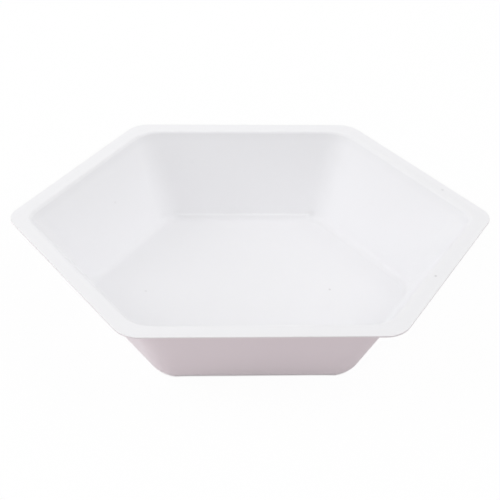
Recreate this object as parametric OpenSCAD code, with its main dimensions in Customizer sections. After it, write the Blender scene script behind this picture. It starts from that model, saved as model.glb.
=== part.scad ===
// Hexagonal weighing boat: one thin formed sheet with a flat flange, drafted walls and a flat floor.
// The plan is an elongated hexagon with rounded corners. The section from the flange's edge to the
// floor is written as an inset for each depth, and one closed skin is lofted through the plans at
// those depths: up the inside, over the flange, and down the underside.

/* [Rim] */
// Length of the rim over its two rounded tips
rim_length = 92; // [80:0.5:130]
// Width of the rim over its two long sides
rim_width = 67; // [50:0.5:80]
// Angle between the two edges that meet at each tip
tip_angle = 110; // [95:1:130]
// Radius of the rim's edge at its two tips
rim_tip_r = 3.7; // [1.5:0.1:8]
// Radius of the rim's edge at its four side corners
rim_corner_r = 5.3; // [1.5:0.1:12]
// Width of the flange along the two long sides, from its edge to the line where the wall's slope meets it
long_flange_w = 2.9; // [2:0.05:5]
// Width of the flange along the four end sides, measured the same way
end_flange_w = 3.25; // [2:0.05:5]

/* [Section] */
// Height from the underside of the floor to the top of the flange
height = 19; // [10:0.5:28]
// Thickness of the sheet
sheet = 0.35; // [0.2:0.05:0.45]
// Slope of the two long walls away from upright, in degrees
long_draft = 18.9; // [8:0.1:28]
// Slope of the four end walls away from upright, in degrees
end_draft = 22; // [8:0.1:28]
// Radius of the top surface where the flange turns down into a long wall
long_lip_r = 0.5; // [0.5:0.05:1.8]
// Radius of the top surface where the flange turns down into an end wall
end_lip_r = 0.95; // [0.5:0.05:1.8]
// Radius of the inner surface where the wall turns into the floor
foot_r = 1.9; // [0.5:0.1:3]

/* [Wall corners] */
// Radius of the inner wall at the two tips, level with the flange
wall_tip_r = 3.5; // [2:0.1:8]
// Radius of the inner wall at the four side corners, level with the flange
wall_corner_r = 7; // [2:0.1:12]
// Radius of the inner wall at the two tips, level with the floor
floor_tip_r = 5.2; // [3:0.1:10]
// Radius of the inner wall at the four side corners, level with the floor
floor_corner_r = 5.9; // [3:0.1:12]

/* [Smoothness] */
// Straight steps in each rounded corner of the plan
corner_steps = 10; // [4:1:16]
// Straight steps in each rounded turn of the section
turn_steps = 7; // [3:1:10]

/* [Hidden] */

half_tip = tip_angle / 2;
half_w = rim_width / 2;
// The tips' edges would meet here if they weren't rounded
tip_x = rim_length / 2 + rim_tip_r * (1 / sin(half_tip) - 1);
inner_depth = height - sheet;
// The steeper wall turns furthest and the larger lip reaches deepest, so they set the depths of the plans
full_turn = 90 - min(long_draft, end_draft);
full_lip_r = max(long_lip_r, end_lip_r);

// Each kind of side: its flange's width, its draft and its lip's radius
long_side = [long_flange_w, long_draft, long_lip_r];
end_side = [end_flange_w, end_draft, end_lip_r];

// Directions that the six sides face, anticlockwise from the side in front of the right-hand tip
side_facing = [half_tip - 90, 90 - half_tip, 90, 90 + half_tip, 270 - half_tip, 270, 270 + half_tip];

// Sharp corners of the plan, anticlockwise from the right-hand tip, once the long sides have moved
// in from the rim's edge by long_inset and the end sides by end_inset
function sharp_corners(long_inset, end_inset) =
    let (b = half_w - long_inset,
         a = tip_x - end_inset / sin(half_tip),
         c = a - b / tan(half_tip))
    [[a, 0], [c, b], [-c, b], [-a, 0], [-c, -b], [c, -b]];

// Rounded plan at one depth. Each corner is an arc between the directions its two sides face, round
// a centre that lies one radius inside both sides.
function plan(long_inset, end_inset, tip_r, corner_r, depth) =
    [for (i = [0:5])
        let (r = i % 3 == 0 ? tip_r : corner_r,
             centre = sharp_corners(long_inset + r, end_inset + r)[i],
             step = (side_facing[i + 1] - side_facing[i]) / corner_steps)
        for (k = [0:corner_steps])
            let (facing = side_facing[i] + k * step)
            [centre[0] + r * cos(facing), centre[1] + r * sin(facing), height - depth]];

// Inset of the inner wall's slope at a depth, as if the section had no rounded turns
function slope_inset(depth, side) = side[0] + depth * tan(side[1]);

// Inset of a skin at a depth. skin is 0 on the inner and top skin, and sheet on the underside. The
// two skins share the centres of their turns, so the sheet keeps its thickness round them.
function skin_inset(depth, side, skin) =
    let (draft = side[1],
         lip_r = side[2],
         run = tan((90 - draft) / 2),
         lip_x = side[0] - lip_r * run,
         lip_cos = min(1, (lip_r - depth) / (lip_r - skin)),
         foot_x = slope_inset(inner_depth, side) + foot_r * run,
         foot_cos = min(1, (depth - inner_depth + foot_r) / (foot_r + skin)))
    lip_cos > sin(draft) ? lip_x + (lip_r - skin) * sin(acos(lip_cos))
    : foot_cos > sin(draft) ? foot_x - (foot_r + skin) * sin(acos(foot_cos))
    : slope_inset(depth, side) - skin / cos(draft);

// Corner radius of a skin at a depth: the wall's own, changed by as much as the skin stands off it
function skin_radius(top_r, floor_r, depth, inset, side) =
    top_r + (floor_r - top_r) * depth / inner_depth + slope_inset(depth, side) - inset;

function wall_plan(depth, skin) =
    let (long_inset = skin_inset(depth, long_side, skin),
         end_inset = skin_inset(depth, end_side, skin))
    plan(long_inset, end_inset,
         skin_radius(wall_tip_r, floor_tip_r, depth, end_inset, end_side),
         skin_radius(wall_corner_r, floor_corner_r, depth, long_inset, long_side),
         depth);

// Depths of the plans through a skin's two turns, from the flange down to the floor
function skin_depths(skin) =
    [for (k = [0:turn_steps])
        full_lip_r - (full_lip_r - skin) * cos(full_turn * k / turn_steps),
     for (k = [turn_steps:-1:0])
        inner_depth - foot_r + (foot_r + skin) * cos(full_turn * k / turn_steps)];

function reversed(list) = [for (i = [len(list) - 1:-1:0]) list[i]];

// Closed solid through a list of plans that have the same number of points
module loft(plans) {
    n = len(plans[0]);
    rows = len(plans);
    sides = [for (j = [0:rows - 2], i = [0:n - 1])
        let (p = j * n + i, q = j * n + (i + 1) % n)
        each [[p, q, q + n], [p, q + n, p + n]]];
    first_cap = [for (i = [n - 1:-1:0]) i];
    last_cap = [for (i = [0:n - 1]) (rows - 1) * n + i];
    polyhedron(points = [for (row = plans) each row], faces = concat(sides, [first_cap, last_cap]),
               convexity = 6);
}

module weighing_boat() {
    inner_skin = [for (depth = reversed(skin_depths(0))) wall_plan(depth, 0)];
    rim_edge = [for (depth = [0, sheet]) plan(0, 0, rim_tip_r, rim_corner_r, depth)];
    under_skin = [for (depth = skin_depths(sheet)) wall_plan(depth, sheet)];
    color("whitesmoke") loft(concat(inner_skin, rim_edge, under_skin));
}

weighing_boat();
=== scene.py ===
from math import pi, radians

import bpy
from bpy.props import FloatProperty, FloatVectorProperty, IntProperty, PointerProperty
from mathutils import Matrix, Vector


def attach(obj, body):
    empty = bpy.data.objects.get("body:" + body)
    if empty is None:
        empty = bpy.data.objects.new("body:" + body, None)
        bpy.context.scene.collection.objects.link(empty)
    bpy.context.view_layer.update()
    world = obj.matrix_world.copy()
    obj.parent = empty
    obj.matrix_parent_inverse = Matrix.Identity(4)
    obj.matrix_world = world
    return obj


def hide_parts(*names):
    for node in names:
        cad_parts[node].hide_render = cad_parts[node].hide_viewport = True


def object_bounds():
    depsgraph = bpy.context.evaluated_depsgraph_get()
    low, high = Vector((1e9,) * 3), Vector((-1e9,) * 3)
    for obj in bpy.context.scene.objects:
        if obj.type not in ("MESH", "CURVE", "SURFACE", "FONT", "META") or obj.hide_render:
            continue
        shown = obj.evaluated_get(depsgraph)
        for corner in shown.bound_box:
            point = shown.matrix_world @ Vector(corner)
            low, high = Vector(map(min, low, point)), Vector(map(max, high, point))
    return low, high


bl_info = {
    "name": "Weighing Boat",
    "version": (1, 0, 0),
    "blender": (4, 5, 0),
    "location": "3D View > Sidebar > Weighing Boat",
    "description": "Builds a six-sided weighing boat, formed from one thin sheet, and its studio stage",
    "category": "Add Mesh",
}

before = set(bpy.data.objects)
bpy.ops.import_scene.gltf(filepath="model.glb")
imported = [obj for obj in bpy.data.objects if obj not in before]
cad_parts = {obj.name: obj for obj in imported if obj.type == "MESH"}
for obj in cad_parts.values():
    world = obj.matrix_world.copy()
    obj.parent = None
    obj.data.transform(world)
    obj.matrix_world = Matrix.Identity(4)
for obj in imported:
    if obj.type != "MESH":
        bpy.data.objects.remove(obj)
CAD_LOW, CAD_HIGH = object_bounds()
CAD_SIZE = CAD_HIGH - CAD_LOW

SHEET_NAME = "formed_sheet"
TABLE_NAME = "studio_table"
CAMERA_NAME = "studio_camera"

# Place, turn and lens of the camera, in metres and millimetres. The turn is about X, then Y, then Z.
CAMERA_PLACE = (-0.01351, -0.15406, 0.13341)
CAMERA_TURN = (radians(51.494), radians(-1.477), radians(-2.049))
CAMERA_LENS = 72.12
CAMERA_SENSOR = 36.0
CAMERA_SHIFT = (0.04766, 0.00036)
CAMERA_RANGE = (0.01, 20.0)

# Each softbox is a square that faces the boat's middle: name, place, length of its sides, power in watts
LAMP_AIM = (0.0, 0.0, 0.01)
LAMPS = [
    ("left_softbox", (-0.51, 0.00, 0.40), 0.35, 1.069),
    ("low_left_softbox", (-0.41, 0.00, 0.11), 0.20, 0.270),
    ("near_front_left_softbox", (-0.152, -0.152, 0.046), 0.08, 0.0313),
    ("right_softbox", (0.95, 0.00, 0.74), 0.80, 2.295),
    ("high_right_softbox", (0.31, 0.00, 0.57), 0.35, 0.611),
    ("low_right_softbox", (0.63, 0.00, 0.17), 0.30, 0.296),
    ("front_softbox", (0.00, -0.95, 0.74), 0.80, 1.914),
    ("high_back_softbox", (0.00, 0.31, 0.57), 0.35, 0.312),
    ("near_back_softbox", (0.00, 0.215, 0.12), 0.10, 0.0423),
]
WORLD_FILL = 0.348

WHITE = (1.0, 1.0, 1.0, 1.0)
# Share of the table's look, to the camera, that is its own even glow
TABLE_GLOW = 0.96
# Width of the gap under the foot that the table's glow notices, the glow left where it is narrowest,
# and the openness from which the glow comes back, with the rate at which it does
GAP_WIDTH = 0.0005
GAP_GLOW = 0.15
GAP_OPENNESS = 0.38
GAP_RATE = 4.5

# The four stretches of a quarter of the plan, each by where it starts. The tip's turn starts at 0.
END_SIDE, CORNER, LONG_SIDE = 1, 2, 3
QUARTER_STRETCHES = 4

# The five stretches of a skin's section, each by where it starts. Half of the cut edge starts at 0, and
# the flat floor starts where the foot's turn ends.
FLANGE, LIP, WALL, FOOT, FLOOR = 1, 2, 3, 4, 5
SKIN_STRETCHES = 5

# The ledge steps in just past the top of the foot's turn and fades out before the floor. Round the
# plan, it rises from nothing near the end of the corner's turn.
LEDGE_TOP, LEDGE_TOP_RATE = 4.05, 8.0
LEDGE_LOW, LEDGE_LOW_RATE = 4.72, 2.6
LEDGE_END, LEDGE_END_RATE = 2.8, 4.0

# Noise of the walls' slow unevenness: its pattern, its waves in a metre, the finer layers laid over
# them, and the rate at which it dies away towards the floor
WAVES_PATTERN = 3.7
WAVES_SCALE = 70.0
WAVES_DETAIL = 1.0
WAVES_FADE_RATE = 3.0

# Grain of the satin surface and of the cut edge, with the height of its bumps in metres
SATIN_GRAIN = {"Grain Size": 0.00016, "Tone Depth": 0.012}
SATIN_GRAIN_HEIGHT = 0.000004
SATIN_SPECULAR = 0.3
CUT_GRAIN = {"Grain Size": 0.00008, "Tone Depth": 0.03}
CUT_GRAIN_HEIGHT = 0.00001
CUT_ROUGHNESS = 0.65
# Slow patches of tone in the plastic: waves in a metre, and how far they and the grain change roughness
PATCH_SCALE = 110.0
PATCH_ROUGHNESS = 0.12
GRAIN_ROUGHNESS = 0.10
# Finer layers laid over the waves of the materials' noises
NOISE_DETAIL = 2.0

# The painted shade on the wall, by the depth below the flange as a share of the whole: where it begins,
# the rate at which it comes in, and the rates at which its upper part and its long, weaker part fade out
SHADE_START, SHADE_RATE = 0.016, 90.0
UPPER_SHADE_FADE = 9.0
LONG_SHADE_FADE, LONG_SHADE_SHARE = 1.33, 0.5

# Flecks and marks in the plastic: place, radius, strength
FLECKS = [
    ((-0.02746, 0.01622, 0.01062), 0.00038, 0.10),
    ((-0.01124, 0.02843, 0.01267), 0.00050, 0.03),
    ((0.01530, 0.02452, 0.00155), 0.00105, 0.065),
    ((-0.02084, -0.00029, 0.00035), 0.00040, 0.12),
    ((0.01659, 0.00001, 0.00035), 0.00034, 0.26),
    ((0.03193, -0.01793, 0.01900), 0.00034, 0.34),
    ((0.03870, 0.00883, 0.01900), 0.00040, 0.20),
]
# Outline of a fleck: waves of its noise in a metre, how soft it is, and how uneven
FLECK_SCALE = 3500.0
FLECK_SOFTNESS = 1.6
FLECK_UNEVENNESS = 1.2


# ---------------------------------------------------------------------------
# Sizes and colours that a user may change
# ---------------------------------------------------------------------------

class SheetSizes(bpy.types.PropertyGroup):
    """Sizes of the formed sheet. Each one is also an input of its Geometry Nodes tree."""

    rim_length: FloatProperty(
        name="Rim Length",
        description="Length of the rim over its two rounded tips",
        default=CAD_SIZE.x, min=0.04, max=0.2, precision=5, subtype="DISTANCE")
    rim_width: FloatProperty(
        name="Rim Width",
        description="Width of the rim over its two long sides",
        default=CAD_SIZE.y, min=0.03, max=0.15, precision=5, subtype="DISTANCE")
    tip_angle: FloatProperty(
        name="Tip Angle",
        description="Angle between the two edges that meet at each tip",
        default=radians(110), min=radians(90), max=radians(135), subtype="ANGLE")
    rim_tip_radius: FloatProperty(
        name="Rim Tip Radius",
        description="Radius of the rim's edge at its two tips",
        default=0.0037, min=0.001, max=0.01, precision=5, subtype="DISTANCE")
    rim_corner_radius: FloatProperty(
        name="Rim Corner Radius",
        description="Radius of the rim's edge at its four side corners",
        default=0.0053, min=0.001, max=0.012, precision=5, subtype="DISTANCE")
    long_flange: FloatProperty(
        name="Long Flange",
        description="Width of the flange along the long sides, from its edge to the line where the wall's "
                    "slope meets it",
        default=0.0029, min=0.002, max=0.006, precision=5, subtype="DISTANCE")
    end_flange: FloatProperty(
        name="End Flange",
        description="Width of the flange along the end sides, from its edge to the line where the wall's "
                    "slope meets it",
        default=0.00325, min=0.002, max=0.006, precision=5, subtype="DISTANCE")
    height: FloatProperty(
        name="Height",
        description="Height from the underside of the floor to the top of the flange",
        default=CAD_SIZE.z, min=0.01, max=0.04, precision=5, subtype="DISTANCE")
    sheet: FloatProperty(
        name="Sheet",
        description="Thickness of the sheet",
        default=0.00035, min=0.0002, max=0.0008, precision=5, subtype="DISTANCE")
    long_draft: FloatProperty(
        name="Long Draft",
        description="Slope of the two long walls away from upright",
        default=radians(18.9), min=radians(5), max=radians(35), subtype="ANGLE")
    end_draft: FloatProperty(
        name="End Draft",
        description="Slope of the four end walls away from upright",
        default=radians(22.0), min=radians(5), max=radians(35), subtype="ANGLE")
    long_lip_radius: FloatProperty(
        name="Long Lip Radius",
        description="Radius of the top surface where the flange turns down into a long wall",
        default=0.0005, min=0.0004, max=0.002, precision=5, subtype="DISTANCE")
    end_lip_radius: FloatProperty(
        name="End Lip Radius",
        description="Radius of the top surface where the flange turns down into an end wall",
        default=0.00095, min=0.0004, max=0.002, precision=5, subtype="DISTANCE")
    foot_radius: FloatProperty(
        name="Foot Radius",
        description="Radius of the inner surface where the wall turns into the floor",
        default=0.0019, min=0.0005, max=0.004, precision=5, subtype="DISTANCE")
    wall_tip_radius: FloatProperty(
        name="Wall Tip Radius",
        description="Radius of the inner wall at the two tips, level with the flange",
        default=0.0035, min=0.002, max=0.01, precision=5, subtype="DISTANCE")
    wall_corner_radius: FloatProperty(
        name="Wall Corner Radius",
        description="Radius of the inner wall at the four side corners, level with the flange",
        default=0.0070, min=0.002, max=0.012, precision=5, subtype="DISTANCE")
    floor_tip_radius: FloatProperty(
        name="Floor Tip Radius",
        description="Radius of the inner wall at the two tips, level with the floor",
        default=0.0052, min=0.003, max=0.01, precision=5, subtype="DISTANCE")
    floor_corner_radius: FloatProperty(
        name="Floor Corner Radius",
        description="Radius of the inner wall at the four side corners, level with the floor",
        default=0.0059, min=0.003, max=0.012, precision=5, subtype="DISTANCE")
    cut_radius: FloatProperty(
        name="Cut Radius",
        description="Rounding that the cutting die leaves on the two corners of the cut edge",
        default=0.00006, min=0.00001, max=0.0001, precision=6, subtype="DISTANCE")
    floor_crown: FloatProperty(
        name="Floor Crown",
        description="Rise of the middle of the floor over its edge",
        default=0.00008, min=0.0, max=0.0005, precision=6, subtype="DISTANCE")
    ledge_depth: FloatProperty(
        name="Ledge Depth",
        description="Depth of the fine ledge along the foot of each long wall",
        default=0.00033, min=0.0, max=0.0005, precision=6, subtype="DISTANCE")
    unevenness: FloatProperty(
        name="Unevenness",
        description="Largest slow rise and fall that forming leaves in the walls",
        default=0.00003, min=0.0, max=0.0002, precision=6, subtype="DISTANCE")
    plan_steps: IntProperty(
        name="Plan Steps",
        description="Steps in each turn and each side of a quarter of the plan",
        default=10, min=4, max=16)
    section_steps: IntProperty(
        name="Section Steps",
        description="Steps in each turn and each straight of the section",
        default=24, min=6, max=24)


class SheetColours(bpy.types.PropertyGroup):
    """Colours and finish of the plastic, and the strength of the painted shade on its walls."""

    plastic: FloatVectorProperty(
        name="Plastic",
        description="Colour of the formed plastic",
        default=(0.932, 0.93, 0.947), min=0.0, max=1.0, size=3, subtype="COLOR")
    cut_edge: FloatVectorProperty(
        name="Cut Edge",
        description="Colour of the cut edge round the rim",
        default=(0.90, 0.90, 0.91), min=0.0, max=1.0, size=3, subtype="COLOR")
    fleck: FloatVectorProperty(
        name="Fleck",
        description="Colour of the small flecks in the plastic",
        default=(0.35, 0.34, 0.34), min=0.0, max=1.0, size=3, subtype="COLOR")
    # Strength of the painted shade: the wall's colour is darkened just under the lip, standing in for
    # shade
    painted_lip_shade: FloatProperty(
        name="Painted Lip Shade",
        description="How much darker the upper part of the wall is than the flange",
        default=0.035, min=0.0, max=0.2, subtype="FACTOR")
    roughness: FloatProperty(
        name="Roughness",
        description="Roughness of the satin surface",
        default=0.60, min=0.05, max=1.0, subtype="FACTOR")


class StageSettings(bpy.types.PropertyGroup):
    """The table, its light and its backdrop."""

    table: FloatVectorProperty(
        name="Table",
        description="Colour of the light that the table sends back to the boat",
        default=(0.660, 0.536, 0.566), min=0.0, max=1.0, size=3, subtype="COLOR")
    table_size: FloatProperty(
        name="Table Size",
        description="Length of each side of the table",
        default=3.0, min=0.5, max=10.0, subtype="DISTANCE")
    lamp_level: FloatProperty(
        name="Lamp Level",
        description="Strength of all the lamps together",
        default=1.0, min=0.0, max=4.0, subtype="FACTOR")
    fill: FloatProperty(
        name="Fill",
        description="Strength of the even light from all round",
        default=WORLD_FILL, min=0.0, max=2.0)


def own_properties(settings):
    """The properties that a group of settings declares itself."""
    return [prop for prop in settings.bl_rna.properties if prop.identifier not in ("rna_type", "name")]


# ---------------------------------------------------------------------------
# Writing a rule as a node tree
# ---------------------------------------------------------------------------

class Term:
    """A number in a node tree. Arithmetic on terms adds Math nodes, so a rule is written as a formula."""

    def __init__(self, socket):
        self.socket = socket

    def __add__(self, other):
        return maths("ADD", self, other)

    def __sub__(self, other):
        return maths("SUBTRACT", self, other)

    def __mul__(self, other):
        return maths("MULTIPLY", self, other)

    def __truediv__(self, other):
        return maths("DIVIDE", self, other)

    def __radd__(self, other):
        return maths("ADD", other, self)

    def __rsub__(self, other):
        return maths("SUBTRACT", other, self)

    def __rmul__(self, other):
        return maths("MULTIPLY", other, self)

    def __rtruediv__(self, other):
        return maths("DIVIDE", other, self)


def tree_of(values):
    """The node tree that the terms among some values are in."""
    return next(value for value in values if isinstance(value, Term)).socket.id_data


def feed(tree, value, socket):
    """Links a term to a socket, or sets the socket's own value."""
    if isinstance(value, Term):
        tree.links.new(value.socket, socket)
    else:
        socket.default_value = value


def maths(operation, *values, clamp=False):
    """The result of a Math node on some values, of which at least one is a term."""
    tree = tree_of(values)
    node = tree.nodes.new("ShaderNodeMath")
    node.operation = operation
    node.use_clamp = clamp
    for value, socket in zip(values, node.inputs):
        feed(tree, value, socket)
    return Term(node.outputs[0])


def mix(share, start, end):
    """start where share is 0, end where it is 1."""
    values = (share, start, end)
    tree = tree_of(values)
    node = tree.nodes.new("ShaderNodeMix")
    for value, socket in zip(values, (node.inputs[0], node.inputs[2], node.inputs[3])):
        feed(tree, value, socket)
    return Term(node.outputs[0])


def share_from(value, start):
    """0 up to start, 1 from start + 1 on, and even between them."""
    return maths("SUBTRACT", value, start, clamp=True)


def ramp(value, rate):
    """0 up to 0, then rising at a rate, and 1 once it is reached."""
    return maths("MULTIPLY", value, rate, clamp=True)


def fade(value, rate):
    """1 up to 0, then falling at a rate, and 0 once it is reached."""
    return maths("SUBTRACT", 1.0, value * rate, clamp=True)


def split(tree, vector_socket):
    """The three coordinates of a vector."""
    node = tree.nodes.new("ShaderNodeSeparateXYZ")
    tree.links.new(vector_socket, node.inputs[0])
    return [Term(socket) for socket in node.outputs]


def joined(tree, x, y, z):
    """The socket of a vector that is made of three coordinates."""
    node = tree.nodes.new("ShaderNodeCombineXYZ")
    for value, socket in zip((x, y, z), node.inputs):
        feed(tree, value, socket)
    return node.outputs[0]


def new_tree(kind, name):
    """An empty node group. One of the same name is removed first."""
    old = bpy.data.node_groups.get(name)
    if old is not None:
        bpy.data.node_groups.remove(old)
    return bpy.data.node_groups.new(name, kind)


def new_group(kind, name, inputs, outputs):
    """A node group with named number inputs and outputs. Returns it, its inputs and its output node."""
    tree = new_tree(kind, name)
    for label in inputs:
        tree.interface.new_socket(name=label, in_out="INPUT", socket_type="NodeSocketFloat")
    for label in outputs:
        tree.interface.new_socket(name=label, in_out="OUTPUT", socket_type="NodeSocketFloat")
    start = tree.nodes.new("NodeGroupInput")
    terms = {label: Term(start.outputs[label]) for label in inputs}
    return tree, terms, tree.nodes.new("NodeGroupOutput")


def place_group(tree, group, values):
    """Puts a group in a tree, feeds its inputs by name, and returns its outputs by name."""
    node = tree.nodes.new("GeometryNodeGroup" if tree.type == "GEOMETRY" else "ShaderNodeGroup")
    node.node_tree = group
    for label, value in values.items():
        feed(tree, value, node.inputs[label])
    return {socket.name: Term(socket) for socket in node.outputs}


def arrange(tree):
    """Lays the nodes out in columns, each to the right of all that feed it."""
    column_width, row_height = 220, 190
    column = {node.name: 0 for node in tree.nodes}
    moved = True
    while moved:
        moved = False
        for link in tree.links:
            at_least = column[link.from_node.name] + 1
            if column[link.to_node.name] < at_least:
                column[link.to_node.name] = at_least
                moved = True
    filled = {}
    for node in tree.nodes:
        row = filled.get(column[node.name], 0)
        node.location = (column_width * column[node.name], -row_height * row)
        filled[column[node.name]] = row + 1


# ---------------------------------------------------------------------------
# The rule of the formed sheet
# ---------------------------------------------------------------------------

def section_inset_group():
    """How far a skin of the sheet stands in from the rim's edge at a depth."""
    tree, given, result = new_group(
        "GeometryNodeTree", "Section Inset",
        ["Depth", "Draft", "Skin", "Flange Width", "Lip Radius", "Foot Radius", "Inner Depth"], ["Inset"])
    depth, draft, skin, flange, lip, foot, inner = given.values()
    run = maths("TANGENT", (pi / 2 - draft) / 2)
    slope = maths("TANGENT", draft)
    draft_sine = maths("SINE", draft)
    lip_cosine = maths("DIVIDE", lip - depth, lip - skin, clamp=True)
    foot_cosine = maths("DIVIDE", depth - inner + foot, foot + skin, clamp=True)
    lip_inset = flange - lip * run + (lip - skin) * maths("SQRT", 1 - lip_cosine * lip_cosine)
    foot_inset = (flange + inner * slope + foot * run
                  - (foot + skin) * maths("SQRT", 1 - foot_cosine * foot_cosine))
    wall_inset = flange + depth * slope - skin / maths("COSINE", draft)
    below_lip = mix(maths("GREATER_THAN", foot_cosine, draft_sine), wall_inset, foot_inset)
    inset = mix(maths("GREATER_THAN", lip_cosine, draft_sine), below_lip, lip_inset)
    feed(tree, inset, result.inputs["Inset"])
    arrange(tree)
    return tree


def rounded_hexagon_group():
    """A point on a quarter of the rounded plan, by the stretches from the tip to the long side."""
    tree, given, result = new_group(
        "GeometryNodeTree", "Rounded Hexagon",
        ["Round", "Long Inset", "End Inset", "Tip Radius", "Corner Radius", "Sharp Half Length",
         "Half Width", "Half Tip Angle"], ["X", "Y"])
    rounds, long_inset, end_inset, tip_radius, corner_radius, sharp, half_width, half_tip = given.values()
    sine = maths("SINE", half_tip)
    side_facing = pi / 2 - half_tip
    tip_turn = share_from(rounds, 0) * side_facing
    tip_x = sharp - (end_inset + tip_radius) / sine + tip_radius * maths("COSINE", tip_turn)
    tip_y = tip_radius * maths("SINE", tip_turn)
    corner_turn = side_facing + share_from(rounds, CORNER) * half_tip
    centre_y = half_width - long_inset - corner_radius
    centre_x = sharp - (end_inset + corner_radius) / sine - centre_y / maths("TANGENT", half_tip)
    corner_x = centre_x + corner_radius * maths("COSINE", corner_turn)
    corner_y = centre_y + corner_radius * maths("SINE", corner_turn)
    end_share = share_from(rounds, END_SIDE)
    x = mix(share_from(rounds, LONG_SIDE), mix(end_share, tip_x, corner_x), 0.0)
    feed(tree, x, result.inputs["X"])
    feed(tree, mix(end_share, tip_y, corner_y), result.inputs["Y"])
    arrange(tree)
    return tree


def size_inputs(tree, sizes):
    """Gives the tree an input for each size, and returns them by name."""
    for prop in own_properties(sizes):
        whole = prop.type == "INT"
        socket = tree.interface.new_socket(
            name=prop.name, in_out="INPUT", socket_type="NodeSocketInt" if whole else "NodeSocketFloat",
            description=prop.description)
        if not whole:
            socket.subtype = prop.subtype
        socket.default_value = prop.default
        socket.min_value, socket.max_value = prop.hard_min, prop.hard_max
    start = tree.nodes.new("NodeGroupInput")
    return {prop.name: Term(start.outputs[prop.name]) for prop in own_properties(sizes)}


def section_tube(tree, size):
    """A closed tube with a fan of rings at each end. Returns its geometry and its points' coordinates.

    The tube's turn is the way round the plan, in four quarters. Its height is the way along the section,
    in two skins: underside below 0, cut edge at 0, inner side above 0.
    """
    tube = tree.nodes.new("GeometryNodeMeshCylinder")
    tube.fill_type = "TRIANGLE_FAN"
    feed(tree, size["Plan Steps"] * (4 * QUARTER_STRETCHES), tube.inputs["Vertices"])
    feed(tree, size["Section Steps"] * (2 * SKIN_STRETCHES), tube.inputs["Side Segments"])
    feed(tree, size["Section Steps"], tube.inputs["Fill Segments"])
    tube.inputs["Radius"].default_value = 1.0
    tube.inputs["Depth"].default_value = 2.0
    place = tree.nodes.new("GeometryNodeInputPosition")
    keep = tree.nodes.new("GeometryNodeCaptureAttribute")
    keep.capture_items.new("VECTOR", "Tube Place")
    tree.links.new(tube.outputs["Mesh"], keep.inputs["Geometry"])
    tree.links.new(place.outputs[0], keep.inputs["Tube Place"])
    return keep.outputs["Geometry"], split(tree, keep.outputs["Tube Place"])


def skin_depth(size, along, skin, inner_depth):
    """Depth of a skin below the flange, through its lip, its wall and its foot."""
    full_turn = pi / 2 - maths("MINIMUM", size["Long Draft"], size["End Draft"])
    lip = maths("MAXIMUM", size["Long Lip Radius"], size["End Lip Radius"])
    foot = size["Foot Radius"]
    lip_depth = lip - (lip - skin) * maths("COSINE", full_turn * share_from(along, LIP))
    foot_turn = full_turn * (1 - share_from(along, FOOT))
    foot_depth = inner_depth - foot + (foot + skin) * maths("COSINE", foot_turn)
    return mix(share_from(along, WALL), lip_depth, foot_depth)


def cut_edge_place(size, along, side):
    """Inset and depth of the cut edge: straight in its middle, and rounded a little at its two corners."""
    half, radius = size["Sheet"] / 2, size["Cut Radius"]
    # The straight takes the first third of the stretch on each side of the middle, and the turn the rest
    turn = share_from(along * 1.5, 0.5) * (pi / 2)
    inset = radius * (1 - maths("COSINE", turn))
    off_middle = (half - radius) * ramp(along, 3) + radius * maths("SINE", turn)
    return inset, half - side * off_middle


def wall_plan_values(tree, size, depth, skin, inner_depth):
    """Insets and corner radii of a skin's plan at a depth, as inputs of the rounded hexagon."""
    inset_rule = section_inset_group()
    insets = {}
    for sides in ("Long", "End"):
        values = {"Depth": depth, "Draft": size[f"{sides} Draft"], "Skin": skin,
                  "Flange Width": size[f"{sides} Flange"], "Lip Radius": size[f"{sides} Lip Radius"],
                  "Foot Radius": size["Foot Radius"], "Inner Depth": inner_depth}
        insets[sides] = place_group(tree, inset_rule, values)["Inset"]
    down = depth / inner_depth

    def radius(corner, sides):
        """The wall's own corner radius, changed by as much as the skin stands off the wall's slope."""
        own = mix(down, size[f"Wall {corner} Radius"], size[f"Floor {corner} Radius"])
        lean = depth * maths("TANGENT", size[f"{sides} Draft"])
        return own + size[f"{sides} Flange"] + lean - insets[sides]

    return {"Long Inset": insets["Long"], "End Inset": insets["End"],
            "Tip Radius": radius("Tip", "End"), "Corner Radius": radius("Corner", "Long")}


def fine_form_offset(tree, size, along, rounds, tube_z):
    """The ledge and the slow unevenness. Both skins move inwards together, so the sheet stays even."""
    ledge = (ramp(along - LEDGE_TOP, LEDGE_TOP_RATE) * ramp(LEDGE_LOW - along, LEDGE_LOW_RATE)
             * ramp(rounds - LEDGE_END, LEDGE_END_RATE) * size["Ledge Depth"])
    waves = tree.nodes.new("ShaderNodeTexNoise")
    waves.noise_dimensions = "4D"
    waves.inputs["W"].default_value = WAVES_PATTERN
    waves.inputs["Scale"].default_value = WAVES_SCALE
    waves.inputs["Detail"].default_value = WAVES_DETAIL
    place = tree.nodes.new("GeometryNodeInputPosition")
    tree.links.new(place.outputs[0], waves.inputs["Vector"])
    wave = (Term(waves.outputs[0]) * size["Unevenness"] * share_from(along, WALL)
            * ramp(FLOOR - along, WAVES_FADE_RATE))
    facing = tree.nodes.new("GeometryNodeInputNormal")
    push = tree.nodes.new("ShaderNodeVectorMath")
    push.operation = "SCALE"
    tree.links.new(facing.outputs[0], push.inputs[0])
    inwards = mix(maths("LESS_THAN", tube_z, 0.0), 1.0, -1.0)
    feed(tree, (ledge + wave) * inwards, push.inputs["Scale"])
    return push.outputs[0]


def with_points(tree, geometry, way, vector):
    """Geometry whose points are put in a place, where way is Position, or moved, where it is Offset."""
    node = tree.nodes.new("GeometryNodeSetPosition")
    tree.links.new(geometry, node.inputs["Geometry"])
    tree.links.new(vector, node.inputs[way])
    return node.outputs[0]


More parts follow.
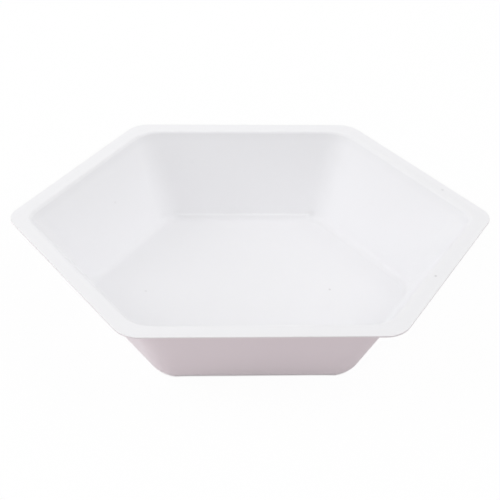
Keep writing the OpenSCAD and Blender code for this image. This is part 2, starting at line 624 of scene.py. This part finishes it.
def with_attribute(tree, geometry, name, value):
    """Geometry that keeps a value at each of its points, under a name that a material can read."""
    node = tree.nodes.new("GeometryNodeStoreNamedAttribute")
    node.data_type, node.domain = "FLOAT", "POINT"
    node.inputs["Name"].default_value = name
    tree.links.new(geometry, node.inputs["Geometry"])
    feed(tree, value, node.inputs["Value"])
    return node.outputs[0]


def with_material(tree, geometry, material, selection=None):
    """Geometry with a material on its faces, or only on those of a selection."""
    node = tree.nodes.new("GeometryNodeSetMaterial")
    node.inputs["Material"].default_value = material
    tree.links.new(geometry, node.inputs["Geometry"])
    if selection is not None:
        feed(tree, selection, node.inputs["Selection"])
    return node.outputs[0]


def formed_sheet_tree(sizes, plastic, cut_edge):
    """The tree that builds the whole sheet: a closed tube, laid over both skins of the section."""
    tree = new_tree("GeometryNodeTree", "Formed Sheet")
    size = size_inputs(tree, sizes)
    tree.interface.new_socket(name="Geometry", in_out="OUTPUT", socket_type="NodeSocketGeometry")

    # Each point's stretch round the quarter of the plan and along the section, its skin and its depth
    tube, (tube_x, tube_y, tube_z) = section_tube(tree, size)
    quarters = maths("ABSOLUTE", maths("ARCTAN2", tube_y, tube_x)) / (pi / 2)
    rounds = QUARTER_STRETCHES * (1 - maths("ABSOLUTE", quarters - 1))
    ring = maths("SQRT", tube_x * tube_x + tube_y * tube_y)
    along = maths("ABSOLUTE", tube_z) * SKIN_STRETCHES
    skin = size["Sheet"] * maths("LESS_THAN", tube_z, 0.0)
    inner_depth = size["Height"] - size["Sheet"]
    depth = skin_depth(size, along, skin, inner_depth)
    edge_inset, edge_depth = cut_edge_place(size, along, maths("SIGN", tube_z))

    # The rim's edge and the wall are two rounded hexagons, and the flange runs from one to the other
    plan_rule = rounded_hexagon_group()
    half_tip = size["Tip Angle"] / 2
    sharp = size["Rim Length"] / 2 + size["Rim Tip Radius"] * (1 / maths("SINE", half_tip) - 1)
    common = {"Round": rounds, "Sharp Half Length": sharp, "Half Width": size["Rim Width"] / 2,
              "Half Tip Angle": half_tip}
    wall_values = wall_plan_values(tree, size, depth, skin, inner_depth)
    wall = place_group(tree, plan_rule, {**common, **wall_values})
    rim_values = {"Long Inset": edge_inset, "End Inset": edge_inset,
                  "Tip Radius": size["Rim Tip Radius"] - edge_inset,
                  "Corner Radius": size["Rim Corner Radius"] - edge_inset}
    rim = place_group(tree, plan_rule, {**common, **rim_values})
    flange_share = share_from(along, FLANGE)
    plan_x = mix(flange_share, rim["X"], wall["X"]) * ring * maths("SIGN", tube_x)
    plan_y = mix(flange_share, rim["Y"], wall["Y"]) * ring * maths("SIGN", tube_y)
    crown = size["Floor Crown"] * (1 - ring * ring)
    level = size["Height"] - (depth + edge_depth - skin) + crown

    laid = with_points(tree, tube, "Position", joined(tree, plan_x, plan_y, level))
    fine_forms = fine_form_offset(tree, size, along, rounds, tube_z)
    detailed = with_points(tree, laid, "Offset", fine_forms)

    # How far the sheet was drawn down, kept for the painted shade on the wall
    drawn = with_attribute(tree, detailed, "drawn", depth / inner_depth)
    smooth = tree.nodes.new("GeometryNodeSetShadeSmooth")
    tree.links.new(drawn, smooth.inputs["Geometry"])
    realized = tree.nodes.new("GeometryNodeRealizeInstances")
    tree.links.new(smooth.outputs[0], realized.inputs[0])
    body = with_material(tree, realized.outputs[0], plastic)
    whole = with_material(tree, body, cut_edge, maths("LESS_THAN", along, FLANGE))
    result = tree.nodes.new("NodeGroupOutput")
    tree.links.new(whole, result.inputs["Geometry"])
    arrange(tree)
    return tree


def run_tree(name, tree, values):
    """Runs a Geometry Nodes tree on an empty object and returns the result as a plain mesh object."""
    old = bpy.data.objects.get(name)
    if old is not None:
        bpy.data.objects.remove(old)
    piece = bpy.data.objects.new(name, bpy.data.meshes.new(name))
    bpy.context.scene.collection.objects.link(piece)
    modifier = piece.modifiers.new("Build", "NODES")
    modifier.node_group = tree
    for item in tree.interface.items_tree:
        if item.in_out == "INPUT" and item.name in values:
            modifier[item.identifier] = values[item.name]
    graph = bpy.context.evaluated_depsgraph_get()
    made = bpy.data.meshes.new_from_object(
        piece.evaluated_get(graph), preserve_all_data_layers=True, depsgraph=graph)
    piece.modifiers.clear()
    piece.data = made
    made.name = name
    return piece


# ---------------------------------------------------------------------------
# Materials
# ---------------------------------------------------------------------------

def object_noise(tree, scale):
    """Noise on Object coordinates, with a number of waves in a metre."""
    place = tree.nodes.new("ShaderNodeTexCoord")
    node = tree.nodes.new("ShaderNodeTexNoise")
    feed(tree, scale, node.inputs["Scale"])
    node.inputs["Detail"].default_value = NOISE_DETAIL
    tree.links.new(place.outputs["Object"], node.inputs["Vector"])
    return Term(node.outputs[0])


def satin_grain_group():
    """The fine grain and slow patches of formed plastic.

    It puts out a tone to multiply the colour by, an offset of the roughness and the height of a bump.
    """
    tree, given, result = new_group(
        "ShaderNodeTree", "Satin Grain",
        ["Grain Size", "Tone Depth"], ["Tone", "Roughness Offset", "Height"])
    grain = object_noise(tree, 1 / given["Grain Size"])
    patch = object_noise(tree, PATCH_SCALE)
    feed(tree, 1 + (patch - 0.5) * given["Tone Depth"], result.inputs["Tone"])
    feed(tree, (patch - 0.5) * PATCH_ROUGHNESS + (grain - 0.5) * GRAIN_ROUGHNESS,
         result.inputs["Roughness Offset"])
    feed(tree, grain, result.inputs["Height"])
    arrange(tree)
    return tree


def fleck_group():
    """A small uneven spot round a centre: 1 inside, 0 outside."""
    tree, given, result = new_group("ShaderNodeTree", "Fleck", ["X", "Y", "Z", "Radius"], ["Mask"])
    place = tree.nodes.new("ShaderNodeTexCoord")
    x, y, z = split(tree, place.outputs["Object"])
    away_x, away_y, away_z = x - given["X"], y - given["Y"], z - given["Z"]
    away = maths("SQRT", away_x * away_x + away_y * away_y + away_z * away_z) / given["Radius"]
    rough = object_noise(tree, FLECK_SCALE)
    inside = FLECK_SOFTNESS + (rough - 0.5) * FLECK_UNEVENNESS
    feed(tree, maths("SUBTRACT", inside, away * FLECK_SOFTNESS, clamp=True), result.inputs["Mask"])
    arrange(tree)
    return tree


def new_material(name):
    """A material with nodes. Returns it with its node tree and its Principled shader."""
    old = bpy.data.materials.get(name)
    if old is not None:
        bpy.data.materials.remove(old)
    material = bpy.data.materials.new(name)
    material.use_nodes = True
    shader = next(n for n in material.node_tree.nodes if n.bl_idname == "ShaderNodeBsdfPrincipled")
    return material, material.node_tree, shader


def tinted(tree, colour, tone):
    """The socket of a colour multiplied by a tone."""
    node = tree.nodes.new("ShaderNodeVectorMath")
    node.operation = "SCALE"
    node.inputs[0].default_value = colour
    feed(tree, tone, node.inputs["Scale"])
    return node.outputs[0]


def colour_mix(tree, share, end):
    """Mixes an open start colour with an end colour. Returns the sockets of the start and the result."""
    node = tree.nodes.new("ShaderNodeMix")
    node.data_type = "RGBA"
    feed(tree, share, node.inputs[0])
    node.inputs[7].default_value = end
    return node.inputs[6], node.outputs[2]


def grain_bump(tree, height, distance):
    """The socket of a normal that a grain's height tilts."""
    node = tree.nodes.new("ShaderNodeBump")
    node.inputs["Strength"].default_value = 1.0
    node.inputs["Distance"].default_value = distance
    feed(tree, height, node.inputs["Height"])
    return node.outputs[0]


def painted_wall_shade(tree, strength):
    """Painted shade on the wall, darkest just under the lip and paling downwards. The flange has none."""
    attribute = tree.nodes.new("ShaderNodeAttribute")
    attribute.attribute_name = "drawn"
    drawn = Term(attribute.outputs["Fac"])
    under_lip = fade(drawn, UPPER_SHADE_FADE) + LONG_SHADE_SHARE * fade(drawn, LONG_SHADE_FADE)
    return ramp(drawn - SHADE_START, SHADE_RATE) * under_lip * strength


def with_flecks(tree, colour, fleck_colour):
    """The socket of a colour with the flecks laid over it."""
    group = fleck_group()
    for centre, radius, strength in FLECKS:
        values = {"X": centre[0], "Y": centre[1], "Z": centre[2], "Radius": radius}
        mask = place_group(tree, group, values)["Mask"]
        start, mixed = colour_mix(tree, mask * strength, (*fleck_colour, 1.0))
        tree.links.new(colour, start)
        colour = mixed
    return colour


def satin_plastic(colours, grain_group):
    """The white plastic of both skins."""
    material, tree, shader = new_material("Satin white plastic")
    grain = place_group(tree, grain_group, SATIN_GRAIN)
    # The plastic's colour carries painted shade on the wall, darkest just under the lip
    colour = tinted(tree, colours.plastic, grain["Tone"] * (1 - painted_wall_shade(tree, colours.painted_lip_shade)))
    tree.links.new(with_flecks(tree, colour, colours.fleck), shader.inputs["Base Color"])
    feed(tree, colours.roughness + grain["Roughness Offset"], shader.inputs["Roughness"])
    tree.links.new(grain_bump(tree, grain["Height"], SATIN_GRAIN_HEIGHT), shader.inputs["Normal"])
    shader.inputs["Specular IOR Level"].default_value = SATIN_SPECULAR
    arrange(tree)
    return material


def cut_plastic(colours, grain_group):
    """The cut edge round the rim, a little duller than the skins."""
    material, tree, shader = new_material("Cut edge of the plastic")
    grain = place_group(tree, grain_group, CUT_GRAIN)
    tree.links.new(tinted(tree, colours.cut_edge, grain["Tone"]), shader.inputs["Base Color"])
    feed(tree, CUT_ROUGHNESS + grain["Roughness Offset"], shader.inputs["Roughness"])
    tree.links.new(grain_bump(tree, grain["Height"], CUT_GRAIN_HEIGHT), shader.inputs["Normal"])
    arrange(tree)
    return material


def seen_directly(tree):
    """1 for rays from the camera and for those that gloss or glass sends on, so all see one backdrop."""
    rays = tree.nodes.new("ShaderNodeLightPath")
    seen = maths("MAXIMUM", Term(rays.outputs["Is Camera Ray"]), Term(rays.outputs["Is Glossy Ray"]))
    return maths("MAXIMUM", seen, Term(rays.outputs["Is Transmission Ray"]))


def table_material(stage):
    """The table: white where it is seen directly, and its own colour in the light it sends back."""
    material, tree, shader = new_material("Pale table")
    shader.inputs["Roughness"].default_value = 1.0
    shader.inputs["Specular IOR Level"].default_value = 0.0
    seen = seen_directly(tree)
    start, colour = colour_mix(tree, seen, WHITE)
    start.default_value = (*stage.table, 1.0)
    tree.links.new(colour, shader.inputs["Base Color"])
    # The glow dims in the narrow gap under the boat's foot, so that its contact shadow shows
    gap = tree.nodes.new("ShaderNodeAmbientOcclusion")
    gap.inputs["Distance"].default_value = GAP_WIDTH
    clear = GAP_GLOW + (1 - GAP_GLOW) * ramp(Term(gap.outputs["AO"]) - GAP_OPENNESS, GAP_RATE)
    glow = tree.nodes.new("ShaderNodeEmission")
    glow.inputs["Strength"].default_value = 1.0
    both = tree.nodes.new("ShaderNodeMixShader")
    feed(tree, seen * TABLE_GLOW * clear, both.inputs[0])
    tree.links.new(shader.outputs[0], both.inputs[1])
    tree.links.new(glow.outputs[0], both.inputs[2])
    out = next(n for n in tree.nodes if n.bl_idname == "ShaderNodeOutputMaterial")
    tree.links.new(both.outputs[0], out.inputs["Surface"])
    arrange(tree)
    return material


# ---------------------------------------------------------------------------
# Stage
# ---------------------------------------------------------------------------

def add_to_scene(scene, name, data):
    """A new object in the scene, in place of any of the same name."""
    if name in bpy.data.objects:
        bpy.data.objects.remove(bpy.data.objects[name])
    thing = bpy.data.objects.new(name, data)
    scene.collection.objects.link(thing)
    return thing


def add_table(scene, stage):
    """The flat table under the boat."""
    half = stage.table_size / 2
    corners = [(-half, -half, 0), (half, -half, 0), (half, half, 0), (-half, half, 0)]
    mesh = bpy.data.meshes.new(TABLE_NAME)
    mesh.from_pydata(corners, [], [(0, 1, 2, 3)])
    mesh.materials.append(table_material(stage))
    return add_to_scene(scene, TABLE_NAME, mesh)


def add_lamps(scene, stage):
    """The softboxes round the boat."""
    for name, place, side, power in LAMPS:
        light = bpy.data.lights.new(name, "AREA")
        light.shape, light.size = "SQUARE", side
        light.energy = power * stage.lamp_level
        lamp = add_to_scene(scene, name, light)
        lamp.location = place
        lamp.rotation_euler = (Vector(LAMP_AIM) - Vector(place)).to_track_quat("-Z", "Y").to_euler()


def add_backdrop(scene, stage):
    """The even light from all round, white where it is seen directly."""
    world = bpy.data.worlds.new("Studio backdrop")
    world.use_nodes = True
    tree = world.node_tree
    sky = next(n for n in tree.nodes if n.bl_idname == "ShaderNodeBackground")
    sky.inputs["Color"].default_value = WHITE
    feed(tree, mix(seen_directly(tree), stage.fill, 1.0), sky.inputs["Strength"])
    arrange(tree)
    scene.world = world


def add_camera(scene):
    """The camera, in front of the boat and above it."""
    view = bpy.data.cameras.new(CAMERA_NAME)
    view.lens, view.sensor_width = CAMERA_LENS, CAMERA_SENSOR
    view.shift_x, view.shift_y = CAMERA_SHIFT
    view.clip_start, view.clip_end = CAMERA_RANGE
    camera = add_to_scene(scene, CAMERA_NAME, view)
    camera.location, camera.rotation_euler = CAMERA_PLACE, CAMERA_TURN
    scene.camera = camera


# ---------------------------------------------------------------------------
# Operators and panel
# ---------------------------------------------------------------------------

class WEIGHINGBOAT_OT_sheet(bpy.types.Operator):
    """Build the formed sheet: flange, walls and floor in one piece"""

    bl_idname = "weighing_boat.sheet"
    bl_label = "Formed Sheet"

    def execute(self, context):
        sizes, colours = context.scene.sheet_sizes, context.scene.sheet_colours
        grain = satin_grain_group()
        tree = formed_sheet_tree(sizes, satin_plastic(colours, grain), cut_plastic(colours, grain))
        values = {prop.name: getattr(sizes, prop.identifier) for prop in own_properties(sizes)}
        piece = run_tree(SHEET_NAME, tree, values)
        if not piece.data.polygons:
            raise RuntimeError("the sheet's tree made no faces")
        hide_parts("weighing_boat")
        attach(piece, "root")
        return {"FINISHED"}


class WEIGHINGBOAT_OT_stage(bpy.types.Operator):
    """Build the stage: table, backdrop, lamps and camera"""

    bl_idname = "weighing_boat.stage"
    bl_label = "Studio Stage"

    def execute(self, context):
        scene, stage = context.scene, context.scene.stage_settings
        table = add_table(scene, stage)
        add_lamps(scene, stage)
        add_backdrop(scene, stage)
        add_camera(scene)
        scene.view_settings.view_transform = "Standard"
        return {"FINISHED"}


class WEIGHINGBOAT_PT_panel(bpy.types.Panel):
    """Lists the boat's operators with their sizes and colours"""

    bl_idname = "WEIGHINGBOAT_PT_panel"
    bl_label = "Weighing Boat"
    bl_space_type = "VIEW_3D"
    bl_region_type = "UI"
    bl_category = "Weighing Boat"

    def draw(self, context):
        groups = (("Sheet", "sheet_sizes"), ("Plastic", "sheet_colours"), ("Stage", "stage_settings"))
        for label, name in groups:
            box = self.layout.box()
            box.label(text=label)
            settings = getattr(context.scene, name)
            for prop in own_properties(settings):
                box.prop(settings, prop.identifier)
        self.layout.operator(WEIGHINGBOAT_OT_sheet.bl_idname)
        self.layout.operator(WEIGHINGBOAT_OT_stage.bl_idname)


CLASSES = (SheetSizes, SheetColours, StageSettings,
           WEIGHINGBOAT_OT_sheet, WEIGHINGBOAT_OT_stage, WEIGHINGBOAT_PT_panel)


def register():
    for cls in CLASSES:
        bpy.utils.register_class(cls)
    bpy.types.Scene.sheet_sizes = PointerProperty(type=SheetSizes)
    bpy.types.Scene.sheet_colours = PointerProperty(type=SheetColours)
    bpy.types.Scene.stage_settings = PointerProperty(type=StageSettings)


def unregister():
    del bpy.types.Scene.stage_settings, bpy.types.Scene.sheet_colours, bpy.types.Scene.sheet_sizes
    for cls in reversed(CLASSES):
        bpy.utils.unregister_class(cls)


def main():
    register()
    bpy.ops.weighing_boat.sheet()
    bpy.ops.weighing_boat.stage()


if __name__ == "__main__":
    main()
